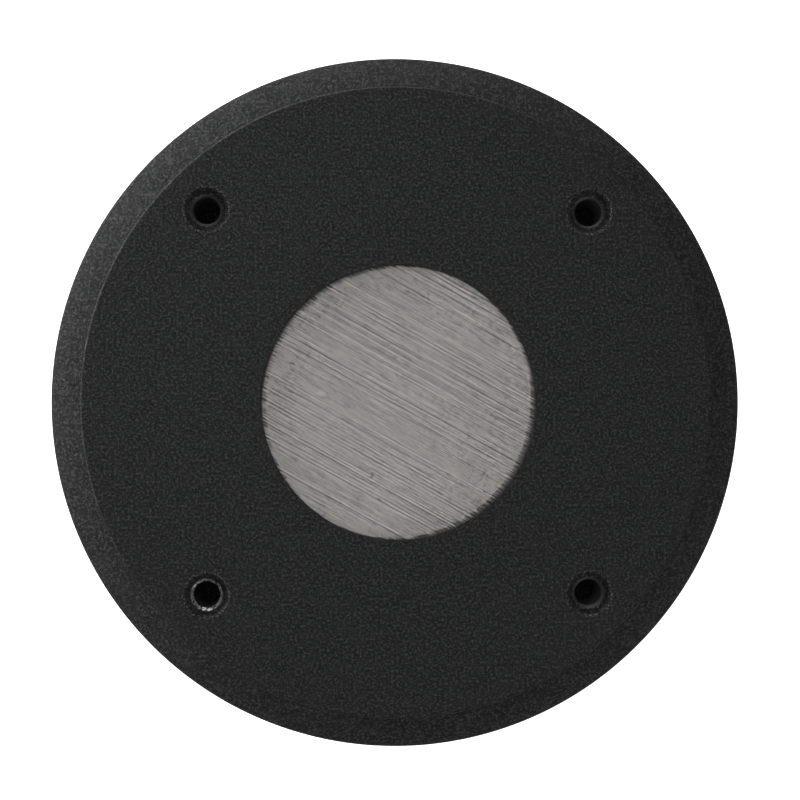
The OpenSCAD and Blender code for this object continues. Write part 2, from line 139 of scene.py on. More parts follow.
def piece(name, corners, faces):
    """A new object from corners in millimetres, welded, with its faces turned outwards."""
    mesh = bpy.data.meshes.new(name)
    mesh.from_pydata((np.array(corners, float) * MM).tolist(), [], faces)
    form = bmesh.new()
    form.from_mesh(mesh)
    bmesh.ops.remove_doubles(form, verts=form.verts, dist=WELD)
    bmesh.ops.recalc_face_normals(form, faces=form.faces)
    form.to_mesh(mesh)
    form.free()
    made = bpy.data.objects.new(name, mesh)
    bpy.context.scene.collection.objects.link(made)
    return made


def grid_faces(rows, columns, close_rows=True, close_columns=True):
    """Quads between rows of corners, where each row has the same number of columns."""
    return [
        (
            i * columns + j,
            i * columns + (j + 1) % columns,
            (i + 1) % rows * columns + (j + 1) % columns,
            (i + 1) % rows * columns + j,
        )
        for i in range(rows if close_rows else rows - 1)
        for j in range(columns if close_columns else columns - 1)
    ]


def turned(outline, segments=ROUND, knurl=None):
    """Corners and faces of an outline of (radius, height) points turned about Z.

    knurl is (radius, depth): every second segment outside that radius is cut back by that depth.
    """
    corners = []
    for i in range(segments):
        angle = 2 * math.pi * i / segments
        for radius, height in outline:
            if knurl and radius > knurl[0] and i % 2:
                radius -= knurl[1]
            corners.append((radius * math.cos(angle), radius * math.sin(angle), height))
    return corners, grid_faces(segments, len(outline))


def stack(rings):
    """Corners and faces of a solid through rings of equal size, closed by its first and last ring."""
    count = len(rings[0])
    corners = [point for ring in rings for point in ring]
    faces = grid_faces(len(rings), count, close_rows=False)
    faces += [tuple(range(count)), tuple(range(len(corners) - count, len(corners)))]
    return corners, faces


def tube(path, radius, sides):
    """Corners and faces of a round tube along a path of points."""
    path = [Vector(p) for p in path]
    side = (path[1] - path[0]).orthogonal().normalized()
    rings = []
    for i, point in enumerate(path):
        along = (path[min(i + 1, len(path) - 1)] - path[max(i - 1, 0)]).normalized()
        side = (side - along * side.dot(along)).normalized()
        other = along.cross(side)
        rings.append([
            tuple(point + (side * math.cos(a) + other * math.sin(a)) * radius)
            for a in (2 * math.pi * s / sides for s in range(sides))
        ])
    return stack(rings)


def moved(solid, matrix):
    """A solid put through a matrix."""
    corners, faces = solid
    return [tuple(matrix @ Vector(c)) for c in corners], faces


def joined(*solids):
    """Several solids as one list of corners and one list of faces."""
    corners, faces = [], []
    for more_corners, more_faces in solids:
        faces += [tuple(i + len(corners) for i in face) for face in more_faces]
        corners += list(more_corners)
    return corners, faces


def block(low, high):
    """A plain box between two corners, used as a cutter."""
    (x0, y0, z0), (x1, y1, z1) = low, high
    return stack([[(x0, y0, z), (x1, y0, z), (x1, y1, z), (x0, y1, z)] for z in (z0, z1)])


def apply_modifiers(made):
    depsgraph = bpy.context.evaluated_depsgraph_get()
    mesh = bpy.data.meshes.new_from_object(made.evaluated_get(depsgraph))
    made.modifiers.clear()
    made.data = mesh


def combine(made, solid, operation="DIFFERENCE"):
    """Cuts a solid out of an object, or adds it where the operation is UNION."""
    tool = piece("tool", *solid)
    modifier = made.modifiers.new("combine", "BOOLEAN")
    modifier.operation = operation
    modifier.solver = "EXACT"
    modifier.object = tool
    apply_modifiers(made)
    bpy.data.objects.remove(tool)


def solid_of(made):
    """An object's corners and faces, in millimetres. The object is removed."""
    corners = [tuple(v.co / MM) for v in made.data.vertices]
    faces = [tuple(p.vertices) for p in made.data.polygons]
    bpy.data.objects.remove(made)
    return corners, faces


def smooth(made, angle=32):
    """Smooth shading with sharp edges kept, and with large faces staying flat."""
    mesh = made.data
    mesh.polygons.foreach_set("use_smooth", [True] * len(mesh.polygons))
    mesh.set_sharp_from_angle(angle=math.radians(angle))
    modifier = made.modifiers.new("flat faces", "WEIGHTED_NORMAL")
    modifier.keep_sharp = True
    apply_modifiers(made)


def hand_over(made, slot, *nodes, body="housing", finish=None):
    """Gives a piece its finish, its body and the CAD nodes that it stands for."""
    made.data.materials.clear()
    made.data.materials.append(FINISHES[finish or slot])
    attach(made, body)
    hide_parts(*nodes)


# Finishes

def shade(colour, share):
    """A colour made darker or lighter by a share, and no brighter than white."""
    return [min(1, c * share) for c in colour]


def grey(value):
    return [value, value, value]


class Finish:
    """A node material round one Principled shader, in the object's own coordinates."""

    def __init__(self, name, colour, roughness, metallic=0.0):
        self.slot = name
        self.material = bpy.data.materials.new(name)
        self.material.use_nodes = True
        self.nodes = self.material.node_tree.nodes
        self.links = self.material.node_tree.links
        self.shader = self.nodes["Principled BSDF"]
        self.colour = colour
        self.shader.inputs["Base Color"].default_value = (*colour, 1)
        self.shader.inputs["Roughness"].default_value = roughness
        self.shader.inputs["Metallic"].default_value = metallic
        self.place = self.add("ShaderNodeTexCoord").outputs["Object"]
        self.normal = None

    def add(self, kind, inputs=None, **settings):
        node = self.nodes.new(kind)
        for key, value in settings.items():
            setattr(node, key, value)
        for key, value in (inputs or {}).items():
            if isinstance(value, bpy.types.NodeSocket):
                self.links.new(value, node.inputs[key])
            else:
                node.inputs[key].default_value = value
        return node

    def noise(self, size, detail=2.0, roughness=0.5, place=None):
        """Cloudy noise whose lumps are about size millimetres across."""
        inputs = {"Vector": place or self.place, "Scale": 1 / (size * MM)}
        inputs.update({"Detail": detail, "Roughness": roughness})
        return self.add("ShaderNodeTexNoise", inputs).outputs["Fac"]

    def cells(self, size):
        """Distance inside cells that are about size millimetres across."""
        inputs = {"Vector": self.place, "Scale": 1 / (size * MM)}
        return self.add("ShaderNodeTexVoronoi", inputs).outputs["Distance"]

    def span(self, value, low, high, to_low, to_high):
        """A value's range from low to high, stretched to another range and clamped there."""
        inputs = {"Value": value, 1: low, 2: high, 3: to_low, 4: to_high}
        return self.add("ShaderNodeMapRange", inputs).outputs["Result"]

    def sum(self, a, b, operation="ADD"):
        return self.add("ShaderNodeMath", {0: a, 1: b}, operation=operation).outputs[0]

    def tint(self, share, other):
        """Mixes the base colour towards another colour by a share."""
        mix = self.add("ShaderNodeMix", {"Factor": share}, data_type="RGBA")
        base = self.shader.inputs["Base Color"]
        if base.is_linked:
            self.links.new(base.links[0].from_socket, mix.inputs["A"])
        else:
            mix.inputs["A"].default_value = (*self.colour, 1)
        mix.inputs["B"].default_value = (*other, 1)
        self.links.new(mix.outputs["Result"], base)
        return self

    def vary(self, size, amount):
        """Lightens the colour in clouds of that size by up to that share, or darkens it if less than 0."""
        share = self.span(self.noise(size, 3), 0.35, 0.65, 0, 1)
        return self.tint(share, shade(self.colour, 1 + amount))

    def gloss(self, value, low, high, rough_low, rough_high):
        rough = self.span(value, low, high, rough_low, rough_high)
        self.links.new(rough, self.shader.inputs["Roughness"])
        return self

    def bump(self, height, depth):
        """Raises the surface by a height from 0 to 1, times depth in millimetres."""
        inputs = {"Height": height, "Distance": depth * MM, "Strength": 1}
        if self.normal is not None:
            inputs["Normal"] = self.normal
        self.normal = self.add("ShaderNodeBump", inputs).outputs["Normal"]
        self.links.new(self.normal, self.shader.inputs["Normal"])
        return self

    def lathe_place(self, centre=(0, 0, 0), axis="Z"):
        """Coordinates that are the same all round an axis: (distance from it, 0, place along it)."""
        inputs = {0: self.place, 1: [c * MM for c in centre]}
        offset = self.add("ShaderNodeVectorMath", inputs, operation="SUBTRACT")
        parts = self.add("ShaderNodeSeparateXYZ", {"Vector": offset.outputs[0]})
        across = [a for a in "XYZ" if a != axis]
        flat = self.add("ShaderNodeCombineXYZ", {a: parts.outputs[a] for a in across})
        reach = self.add("ShaderNodeVectorMath", {0: flat.outputs[0]}, operation="LENGTH").outputs["Value"]
        return self.add("ShaderNodeCombineXYZ", {"X": reach, "Z": parts.outputs[axis]}).outputs[0]

    def mouth_edge(self):
        """1 on the outer and inner edge of every hole mouth, and 0 a little away from them."""
        side = HOLE_CIRCLE / 2 * math.sin(math.pi / 4) * MM
        fold = self.add("ShaderNodeVectorMath", {0: self.place}, operation="ABSOLUTE")
        inputs = {0: fold.outputs[0], 1: (side, side, 0)}
        shift = self.add("ShaderNodeVectorMath", inputs, operation="SUBTRACT")
        flat = self.add("ShaderNodeVectorMath", {0: shift.outputs[0], 1: (1, 1, 0)}, operation="MULTIPLY")
        reach = self.add("ShaderNodeVectorMath", {0: flat.outputs[0]}, operation="LENGTH").outputs["Value"]
        edges = []
        for radius in (MOUTH, THREAD_MAJOR):
            gap = self.sum(self.sum(reach, radius * MM, "SUBTRACT"), 0, "ABSOLUTE")
            edges.append(self.span(gap, 0.12 * MM, 0.3 * MM, 1, 0))
        return self.sum(*edges, "MAXIMUM")


def colour_of(slot):
    return next(m["base_color"] for m in frame["record"]["materials"] if m["slot"] == slot)


def powder_coat(slot):
    """Fine textured coat: sandy grain, soft clouds, small bright specks of painted glint, and a raised bead round
    the edge of each hole mouth, tinted lighter as a painted highlight.
    """
    f = Finish(slot, shade(colour_of(slot), 0.22), 0.44)
    grain = f.noise(0.5, 4, 0.72)
    f.bump(f.span(grain, 0.25, 0.75, 0, 1), 0.25)
    f.links.new(f.span(grain, 0.46, 0.58, 0.05, 0.1), f.shader.inputs["Specular IOR Level"])
    f.tint(f.span(grain, 0.51, 0.6, 0, 1), shade(f.colour, 4.3))
    f.tint(f.span(f.noise(3, 5, 0.7), 0.42, 0.62, 0, 0.4), shade(f.colour, 2.3))
    # Painted glints: small bright specks tinted into the coat.
    f.tint(f.span(f.cells(0.9), 0.12, 0.04, 0, 0.6), grey(0.1))
    beads_and_painted_glints = f.sum(f.mouth_edge(), f.span(f.noise(0.3, 1), 0.54, 0.62, 0, 1), "MULTIPLY")
    f.bump(beads_and_painted_glints, 0.1)
    # Painted highlight: the bead is tinted lighter along the mouth edges, on top of its real bump.
    f.tint(f.sum(beads_and_painted_glints, 0.6, "MULTIPLY"), grey(0.12))
    return f.gloss(grain, 0.3, 0.7, 0.6, 0.42)


def turned_metal(slot, roughness, line, depth, centre=(0, 0, 0), axis="Z"):
    """Metal with fine tool lines round an axis."""
    f = Finish(slot, colour_of(slot), roughness, 1.0)
    lines = f.noise(line, 2, 0.6, f.lathe_place(centre, axis))
    f.bump(lines, depth)
    f.vary(7, -0.16)
    return f.gloss(f.sum(lines, f.noise(14)), 0.7, 1.3, roughness * 0.85, roughness * 1.2)


def plated_metal(slot, roughness, grain=0.25):
    """Small plated parts: bright, with a faint drawn or tumbled grain."""
    f = Finish(slot, colour_of(slot), roughness, 1.0)
    f.bump(f.noise(grain, 2), 0.004)
    f.vary(1.6, -0.2)
    return f.gloss(f.noise(1.1, 3), 0.35, 0.65, roughness * 0.7, roughness * 1.5)


def moulding(slot, roughness, grain, depth):
    """Moulded plastic with an eroded grain."""
    f = Finish(slot, colour_of(slot), roughness)
    f.bump(f.noise(grain, 3, 0.6), depth)
    f.vary(5, 0.25)
    return f.gloss(f.noise(2.5, 3), 0.35, 0.65, roughness * 0.85, min(1, roughness * 1.2))


def casting(slot):
    """Die cast aluminium under a satin coat."""
    f = Finish(slot, colour_of(slot), 0.42, 0.15)
    f.bump(f.noise(1.4, 3, 0.55), 0.05)
    f.bump(f.noise(0.22, 2, 0.5), 0.008)
    f.vary(14, 0.3)
    return f.gloss(f.noise(4, 4), 0.35, 0.65, 0.36, 0.52)


def fibre(slot, roughness, grain, depth):
    """Matt board, rubber or film with a fibrous or speckled face."""
    f = Finish(slot, colour_of(slot), roughness)
    f.bump(f.noise(grain, 4, 0.7), depth)
    f.vary(grain * 3, 0.4)
    return f


def open_foam(slot):
    f = Finish(slot, colour_of(slot), 0.95)
    pores = f.cells(0.8)
    f.bump(pores, 0.5)
    # Painted shade: darker down in the hollows of the pores.
    return f.tint(f.span(pores, 0.1, 0.6, 0.8, 0), shade(f.colour, 0.25))


def cloth(slot):
    """Fine plain weave, made far darker than its own colour as painted shade behind the screen, with painted shade
    in the hollows between its threads, so that it is paler on their crowns.
    """
    thread = 0.22
    # Painted shade: the cloth's own colour is cut to a small share, to read as the shade behind the screen.
    f = Finish(slot, shade(colour_of(slot), 0.08), 0.9)
    f.vary(8, 0.08)
    waves = []
    for direction in "XY":
        inputs = {"Vector": f.place, "Scale": 0.314 / (thread * MM), "Distortion": 0.4, "Detail": 1}
        waves.append(f.add("ShaderNodeTexWave", inputs, bands_direction=direction).outputs["Fac"])
    weave = f.sum(waves[0], waves[1], "MULTIPLY")
    f.bump(weave, 0.06)
    # Painted shade: darker in the hollows of the weave.
    return f.tint(f.span(weave, 0, 0.4, 0.35, 0), shade(f.colour, 0.5))


def woven_wire(slot):
    """Stainless wire, each wire a little darker or lighter at random, with painted shade where it dips under the
    wires it crosses, so that it is brightest on its crowns.
    """
    f = Finish(slot, shade(colour_of(slot), 1.6), 0.36, 0.85)
    f.vary(11, -0.06)
    tone_and_shade = f.add("ShaderNodeAttribute", attribute_name="tone_and_shade").outputs["Fac"]
    # The tint darkens each wire by its own random darkness and, where it dips under, by painted shade.
    f.tint(f.span(tone_and_shade, 0, 1, 0, 1), shade(f.colour, 0.1))
    return f.gloss(f.sum(f.noise(0.5, 2), tone_and_shade), 0.5, 1.5, 0.32, 0.5)


def steel_thread(slot):
    """Tapped steel mostly tinted to the black of the coat, which is thin on the first turns of the lower-left
    hole, and which grows further down every hole as painted shade.
    """
    f = Finish(slot, grey(0.4), 0.32, 1.0)
    face = box("front_plate")[1].z
    parts = f.add("ShaderNodeSeparateXYZ", {"Vector": f.place})
    # Painted shade: more black coat from 2.5 mm below the face to 5 mm and beyond, for the shade deep in each
    # hole.
    depth = f.span(parts.outputs["Z"], (face - 5) * MM, (face - 2.5) * MM, 0.3, 0)
    across = f.sum(parts.outputs["X"], parts.outputs["Y"])
    coat_and_depth_shade = f.sum(f.span(across, -0.05, -0.02, 0.02, 0.3), f.sum(depth, f.noise(0.5, 3, 0.7)))
    share = f.span(coat_and_depth_shade, 0.45, 0.55, 0, 1)
    f.tint(share, shade(colour_of("coat_black"), 0.3))
    f.links.new(f.sum(1.0, share, "SUBTRACT"), f.shader.inputs["Metallic"])
    return f.gloss(share, 0, 1, 0.3, 0.6)


def stage_finish(name, glow):
    """Pale matt surface that glows, as a lit table or backdrop does."""
    f = Finish(name, grey(0.88), 0.9)
    f.shader.inputs["Emission Color"].default_value = (1, 1, 1, 1)
    f.shader.inputs["Emission Strength"].default_value = glow
    return f.vary(300, 0.02)


post_centre = middle("red_post")
ALL_FINISHES = [
    powder_coat("coat_black"),
    woven_wire("screen_wire"),
    fibre("ring_fibre", 0.95, 0.5, 0.03),
    cloth("dust_cloth"),
    turned_metal("pole_steel", 0.34, 0.12, 0.012),
    turned_metal("copper", 0.25, 0.1, 0.006),
    plated_metal("magnet_nickel", 0.24, 0.4),
    moulding("band_plastic", 0.5, 0.3, 0.02),
    turned_metal("plate_zinc", 0.32, 0.14, 0.014),
    moulding("plug_resin", 0.55, 0.4, 0.02),
    turned_metal("dome_titanium", 0.3, 0.5, 0.008),
    fibre("former_film", 0.35, 0.6, 0.004),
    fibre("surround_film", 0.55, 0.5, 0.01),
    plated_metal("lead_foil", 0.3, 0.3),
    moulding("ring_plastic", 0.5, 0.35, 0.02),
    plated_metal("screw_zinc", 0.3, 0.2),
    plated_metal("pin_steel", 0.18, 0.15),
    plated_metal("brass", 0.28, 0.25),
    plated_metal("lug_tin", 0.34, 0.3),
    fibre("gasket_rubber", 0.85, 0.4, 0.03),
    casting("cover_cast"),
    open_foam("foam"),
    plated_metal("screw_black", 0.38, 0.2),
    moulding("block_plastic", 0.34, 0.35, 0.012),
    turned_metal("post_nickel", 0.2, 0.12, 0.006, tuple(post_centre), "Y"),
    moulding("button_red", 0.28, 0.5, 0.006),
    moulding("button_black", 0.28, 0.5, 0.006),
    plated_metal("spring_steel", 0.22, 0.1),
    moulding("wire_red", 0.4, 0.6, 0.006),
    moulding("wire_black", 0.4, 0.6, 0.006),
    steel_thread("thread_steel"),
]
FINISHES = {f.slot: f.material for f in ALL_FINISHES}

for cad_node in frame["nodes"].values():
    for material_slot in cad_node.material_slots:
        material_slot.material = FINISHES[material_slot.material.name.split(".")[0]]


# Camera, before the pieces

VIEW_WIDTH = 149.8                       # width of the picture at the distance of the mounting face
EYE = Vector((-17, 0.6, 330))
PICTURE_CENTRE = Vector((0.19, 0.48))    # the point of the mounting face that the camera looks at
SENSOR = 36

aim = Vector((*PICTURE_CENTRE, 0)) - EYE
camera_data = bpy.data.cameras.new("camera")
camera_data.sensor_width = SENSOR
camera_data.lens = SENSOR * aim.length / VIEW_WIDTH
camera = bpy.data.objects.new("camera", camera_data)
camera.location = EYE * MM
camera.rotation_euler = (math.asin(aim.y / aim.length), math.atan2(aim.x, aim.z) + math.pi, 0)
bpy.context.scene.collection.objects.link(camera)
bpy.context.scene.camera = camera


# Front plate

plate_low, plate_high = box("front_plate")
plate_r = plate_high.x
opening_r, land_r = radii("front_plate", plate_high.z)
seat_r = radii("front_plate", plate_low.z)[0]
screen_z = box("screen_mesh")[1].z


def hole_places():
    """Where each tapped hole is, as a matrix."""
    for i in range(HOLE_COUNT):
        angle = math.radians(45 + i * 360 / HOLE_COUNT)
        yield Matrix.Translation((HOLE_CIRCLE / 2 * math.cos(angle), HOLE_CIRCLE / 2 * math.sin(angle), 0))


def coated_plate():
    """The plate: a raised land, a swelling shoulder, a round rim, and a thin lip over the screen."""
    land_h, foot, shoulder_drop, rim_round = 0.5, 0.3, 2.2, 1.3
    swell_r, swell_drop = 62.6, 1.35
    outline = rounded([
        (opening_r, plate_high.z, 0.15),
        (land_r, plate_high.z, 0.2),
        (land_r + foot, plate_high.z - land_h, 0.15),
        (swell_r, plate_high.z - swell_drop, 8),
        (plate_r, plate_high.z - land_h - shoulder_drop, rim_round),
        (plate_r, plate_low.z, 0.7),
        (seat_r, plate_low.z, 0.3),
        (seat_r, screen_z, 0.15),
        (opening_r, screen_z, 0.15),
    ])
    made = piece("coated_plate", *turned(outline))
    point_slope = math.radians(31)
    tip = THREAD_DEPTH + THREAD_MINOR * math.tan(point_slope)
    above = 2
    drill = turned([
        (0, above), (MOUTH + 1.5, above), (MOUTH + 0.25, 0.04), (MOUTH - 0.1, -0.1),
        (THREAD_MAJOR, THREAD_MAJOR - MOUTH), (THREAD_MAJOR, -THREAD_DEPTH), (0, -tip),
    ], SMALL_ROUND)
    combine(made, joined(*[moved(drill, place) for place in hole_places()]))
    smooth(made)
    hand_over(made, "coat_black", "front_plate")


def thread_radius(turn, height):
    """Radius of a metric thread at a turn round its axis, from 0 to 1, and at a height."""
    crest, root = 1 / 8, 1 / 16
    phase = (height / THREAD_PITCH - turn) % 1
    from_crest = min(phase, 1 - phase)
    share = (from_crest - crest) / (0.5 - crest - root)
    return THREAD_MINOR + (THREAD_MAJOR - THREAD_MINOR) * min(1, max(0, share))


def bolt_threads():
    """A tapped steel wall for each hole, cut back by the cone of its mouth."""
    sides, rows_a_pitch, bite = 64, 16, 0.02
    top = THREAD_MAJOR - MOUTH
    rows = round((THREAD_DEPTH + top) / THREAD_PITCH * rows_a_pitch)
    heights = [top - (THREAD_DEPTH + top) * k / rows for k in range(rows + 1)]
    corners = []
    for s in range(sides):
        turn = s / sides
        for height in heights:
            radius = max(thread_radius(turn, height), MOUTH + height)
            corners.append((radius, turn, height))
        corners.append((THREAD_MAJOR + bite, turn, heights[-1]))
        corners.append((THREAD_MAJOR + bite, turn, heights[0]))
    around = [(r * math.cos(2 * math.pi * t), r * math.sin(2 * math.pi * t), z) for r, t, z in corners]
    wall = around, grid_faces(sides, len(heights) + 2)
    made = piece("bolt_threads", *joined(*[moved(wall, place) for place in hole_places()]))
    smooth(made, 50)
    hand_over(made, "pole_steel", "front_plate", finish="thread_steel")


# Screen and dust cloth

INCH = 25.4
WIRES_AN_INCH = 80
WIRE_PITCH = INCH / WIRES_AN_INCH
WIRE_D = 0.14
WIRE_TURN = math.radians(-29.1)


def wire_offsets(count, spread, seed):
    """Places of the wires across the screen, each a little out of true."""
    chance = random.Random(seed)
    return [(k - (count - 1) / 2) * WIRE_PITCH + chance.gauss(0, spread) for k in range(count)]


def wire_set(name, own, crossed, turn, lift, sway, seed, bare=0, short=0):
    """One of the two sets of wires: each sways a little, and goes over and under those it crosses.

    The lift is 1 for one set and -1 for the other, so one goes over where the other goes under.
    Along its ends a wire is straight for the length bare, where the wires it would cross are short.
    """
    reach = opening_r + 0.5
    rim = WIRE_D / 2
    height = (box("screen_mesh")[0].z + screen_z) / 2
    chance = random.Random(seed)
    corners, faces, tones_and_shade = [], [], []
    for j, across in enumerate(own):
        if abs(across) + short >= reach:
            continue
        end = math.sqrt(reach * reach - (abs(across) + short) ** 2)
        woven = end - max(bare, WIRE_D)
        stops = [(place, (-1) ** (i + j)) for i, place in enumerate(crossed) if abs(place) < woven]
        stops = [(-end, 0), *stops, (end, 0)]
        dull = 0.25 * chance.random() ** 2
        wave, phase = chance.uniform(1.5, 4), chance.uniform(0, 2 * math.pi)
        for place, side in stops:
            drift = across + sway * math.sin(place / wave + phase)
            middle_z = height + lift * side * WIRE_D / 2
            for a, b in ((0, rim), (rim, 0), (0, -rim), (-rim, 0)):
                corners.append((place, drift + a, middle_z + b))
            # Painted shade: a wire is marked darker where it goes under the wire it crosses.
            under = 0.4 * (1 - lift * side) if side else 0
            tones_and_shade += [min(1, max(0, dull + under + chance.gauss(0, 0.3)))] * 4
        start = len(corners) - 4 * len(stops)
        count = len(stops)
        for k in range(count - 1):
            for s in range(4):
                here, there = start + 4 * k, start + 4 * (k + 1)
                faces.append((here + s, here + (s + 1) % 4, there + (s + 1) % 4, there + s))
        faces.append(tuple(range(start, start + 4)))
        faces.append(tuple(range(start + 4 * count - 4, start + 4 * count)))
    spin = Matrix.Rotation(turn, 4, "Z")
    mesh = bpy.data.meshes.new(name)
    mesh.from_pydata([tuple(spin @ Vector(c) * MM) for c in corners], [], faces)
    mesh.attributes.new("tone_and_shade", "FLOAT", "POINT").data.foreach_set("value", tones_and_shade)
    form = bmesh.new()
    form.from_mesh(mesh)
    bmesh.ops.recalc_face_normals(form, faces=form.faces)
    form.to_mesh(mesh)
    form.free()
    mesh.polygons.foreach_set("use_smooth", [True] * len(mesh.polygons))
    made = bpy.data.objects.new(name, mesh)
    bpy.context.scene.collection.objects.link(made)
    hand_over(made, "screen_wire", "screen_mesh")


def woven_screen():
    count = 2 * math.ceil((opening_r + 1) / WIRE_PITCH)
    warp = wire_offsets(count, spread=0.055, seed=11)
    weft = wire_offsets(count, spread=0.01, seed=12)
    fray = 1.5
    wire_set("warp_wires", warp, weft, WIRE_TURN, lift=1, sway=0.04, seed=13, bare=fray)
    across = WIRE_TURN + math.pi / 2
    mirrored = [-place for place in weft]
    wire_set("weft_wires", mirrored, warp, across, lift=-1, sway=0.01, seed=14, short=fray)


def throat_cloth():
    """A stretched disc of thin cloth behind the screen, slightly rippled."""
    low, high = box("dust_cloth")
    reach = high.x - 0.1
    rings, segments = 40, 160
    outline = [(reach * k / rings, high.z) for k in range(rings + 1)]
    outline += [(reach * k / rings, low.z) for k in range(rings, -1, -1)]
    corners, faces = turned(outline, segments)
    ripple, depth = 6.5, 0.05
    rippled = []
    for x, y, z in corners:
        wave = (1 + math.sin(x / ripple + 0.6) * math.cos(y / ripple * 1.3)) / 2
        rippled.append((x, y, z - depth * wave if z == high.z else z))
    made = piece("throat_cloth", rippled, faces)
    smooth(made)
    hand_over(made, "dust_cloth", "dust_cloth")


# Motor rings

def ring_between(name, node, slot, inner, outer, fillet):
    """A turned ring as high as its CAD node, with softened edges."""
    low, high = box(node)
    outline = rounded([(r, z, fillet) for r, z in (
        (inner, high.z), (outer, high.z), (outer, low.z), (inner, low.z),
    )])
    made = piece(name, *turned(outline))
    smooth(made)
    hand_over(made, slot, node)


def motor_rings():
    for name, node, slot, fillet in (
        ("magnet_cover_band", "magnet_band", "band_plastic", 0.5),
        ("turned_top_plate", "top_plate", "plate_zinc", 0.6),
        ("cover_seal", "cover_gasket", "gasket_rubber", 0.2),
    ):
        high = box(node)[1]
        ring_between(name, node, slot, radii(node, high.z)[0], high.x, fillet)


# Rear cover

COVER_SCREWS = 6
COVER_SCREW_R = 57
M4_R = 2
M4_HEAD_R = 3.5
CUP_R = 53
CUP_ROUND = 6
CUP_WALL = 2.5
CUP_FLOOR = 3
FLANGE = 5
FLAT_INSET = 4.5
LEDGE = 6
PAD = 3.5
GUSSET_TURNS = range(-30, 211, 60)    # degrees, with none on the side of the terminals
RECESS_R = 27
RECESS = 0.8


def cover_screw_places(height):
    for i in range(COVER_SCREWS):
        angle = 2 * math.pi * i / COVER_SCREWS
        yield Matrix.Translation((COVER_SCREW_R * math.cos(angle), COVER_SCREW_R * math.sin(angle), height))


def gusset(flange_back):
    """A rib between the flange and the side of the cup, with soft edges."""
    root, foot, drop, half = CUP_R - 1, 59.5, 10, 1.5
    soft, slant = 0.4, 1.8
    rings = []
    for y, inset in ((-half, soft), (-half + soft, 0), (half - soft, 0), (half, soft)):
        rings.append([
            (root, y, flange_back + 1),
            (foot - inset, y, flange_back + 1),
            (foot - inset, y, flange_back),
            (CUP_R, y, flange_back - drop + inset * slant),
            (root, y, flange_back - drop + inset * slant),
        ])
    return stack(rings)


def cast_cover():
    low, high = box("rear_cover")
    flange_back = high.z - FLANGE
    outline = rounded([
        (0, high.z, 0),
        (high.x, high.z, 0.3),
        (high.x, flange_back, 0.8),
        (CUP_R, flange_back, 1.2),
        (CUP_R, low.z, CUP_ROUND),
        (RECESS_R, low.z, 0.35),
        (RECESS_R, low.z + RECESS, 0.3),
        (0, low.z + RECESS, 0),
    ])
    made = piece("cast_cover", *turned(outline))
    for turn in GUSSET_TURNS:
        rib = moved(gusset(flange_back), Matrix.Rotation(math.radians(turn), 4, "Z"))
        combine(made, rib, "UNION")

    flat_y = -CUP_R + FLAT_INSET
    ledge_z = flange_back - LEDGE
    past = flat_y - 20
    side = rounded([
        (past, low.z - 2, 0), (flat_y, low.z - 2, 0), (flat_y, ledge_z, 1.2), (past, ledge_z, 0),
    ])
    combine(made, stack([[(x, y, z) for y, z in side] for x in (-CUP_R, CUP_R)]))

    cavity_r = CUP_R - CUP_WALL
    floor_level = low.z + CUP_FLOOR
    cavity = piece("cavity", *turned(rounded([
        (0, high.z + 1, 0), (cavity_r, high.z + 1, 0), (cavity_r, floor_level, 3), (0, floor_level, 0),
    ])))
    pad_y = flat_y + PAD
    combine(cavity, block((-CUP_R, -CUP_R - 5, low.z), (CUP_R, pad_y, flange_back - 1)))
    combine(made, solid_of(cavity))

    clearance = 0.15
    hole_r = M4_R + clearance
    shank = turned([
        (0, high.z + 1), (hole_r, high.z + 1), (hole_r, flange_back - 1), (0, flange_back - 1),
    ], FINE_HOLE)
    combine(made, joined(*[moved(shank, place) for place in cover_screw_places(0)]))
    smooth(made, 20)
    hand_over(made, "cover_cast", "rear_cover")


def hex_socket(flats, depth, past):
    """A cutter for a hexagon socket whose mouth is at height 0, with a drilled point."""
    radius = flats / 2 / math.cos(math.pi / 6)
    point, blunt = 0.6, 0.1
    hexagon = [(radius * math.cos(k * math.pi / 3), radius * math.sin(k * math.pi / 3)) for k in range(6)]
    return stack([
        [(x, y, past) for x, y in hexagon],
        [(x, y, -depth) for x, y in hexagon],
        [(x * blunt, y * blunt, -depth - point) for x, y in hexagon],
    ])


def cap_screws():
    """Socket head screws with knurled sides. A head points down, away from the flange."""
    low, high = box("cover_screws")
    flange_back = box("rear_cover")[1].z - FLANGE
    head_h, shank = flange_back - low.z, high.z - flange_back
    outline = rounded([
        (0, head_h, 0), (M4_HEAD_R, head_h, 0.35), (M4_HEAD_R, 0, 0.15), (M4_R, 0, 0),
        (M4_R, -shank, 0.3), (0, -shank, 0),
    ])
    head = piece("cap_screw", *turned(outline, SMALL_ROUND, knurl=(M4_HEAD_R - 0.02, 0.09)))
    socket = hex_socket(flats=3, depth=2, past=1)
    combine(head, moved(socket, Matrix.Translation((0, 0, head_h))))
    one = solid_of(head)
    chance = random.Random(21)
    over = Matrix.Rotation(math.pi, 4, "X")
    screws = [
        moved(one, place @ over @ Matrix.Rotation(chance.uniform(0, math.pi), 4, "Z"))
        for place in cover_screw_places(flange_back)
    ]
    made = piece("cap_screws", *joined(*screws))
    smooth(made, 35)
    hand_over(made, "screw_black", "cover_screws")


# Terminals

WELL_R = 4.4
WELL_DEPTH = 5
POST_R = 2
POST_GAP = 0.1
COLLAR_R = 3.2
COLLAR_T = 0.8
WIRE_HOLE_R = 1
WIRE_HOLE_LIFT = 1.6
M3_R = 1.5
M3_HEAD_R = 2.6
M3_HEAD_H = 1.8
M3_SEAT = 2

block_low, block_high = box("terminal_block")
block_screw_x = box("block_screws")[1].x - M3_HEAD_R


def outward(x, depth=0):
    """Moves a solid drawn along +Z onto the block's face, pointing out of it."""
    return Matrix.Translation((x, block_low.y + depth, post_centre.z)) @ Matrix.Rotation(math.pi / 2, 4, "X")


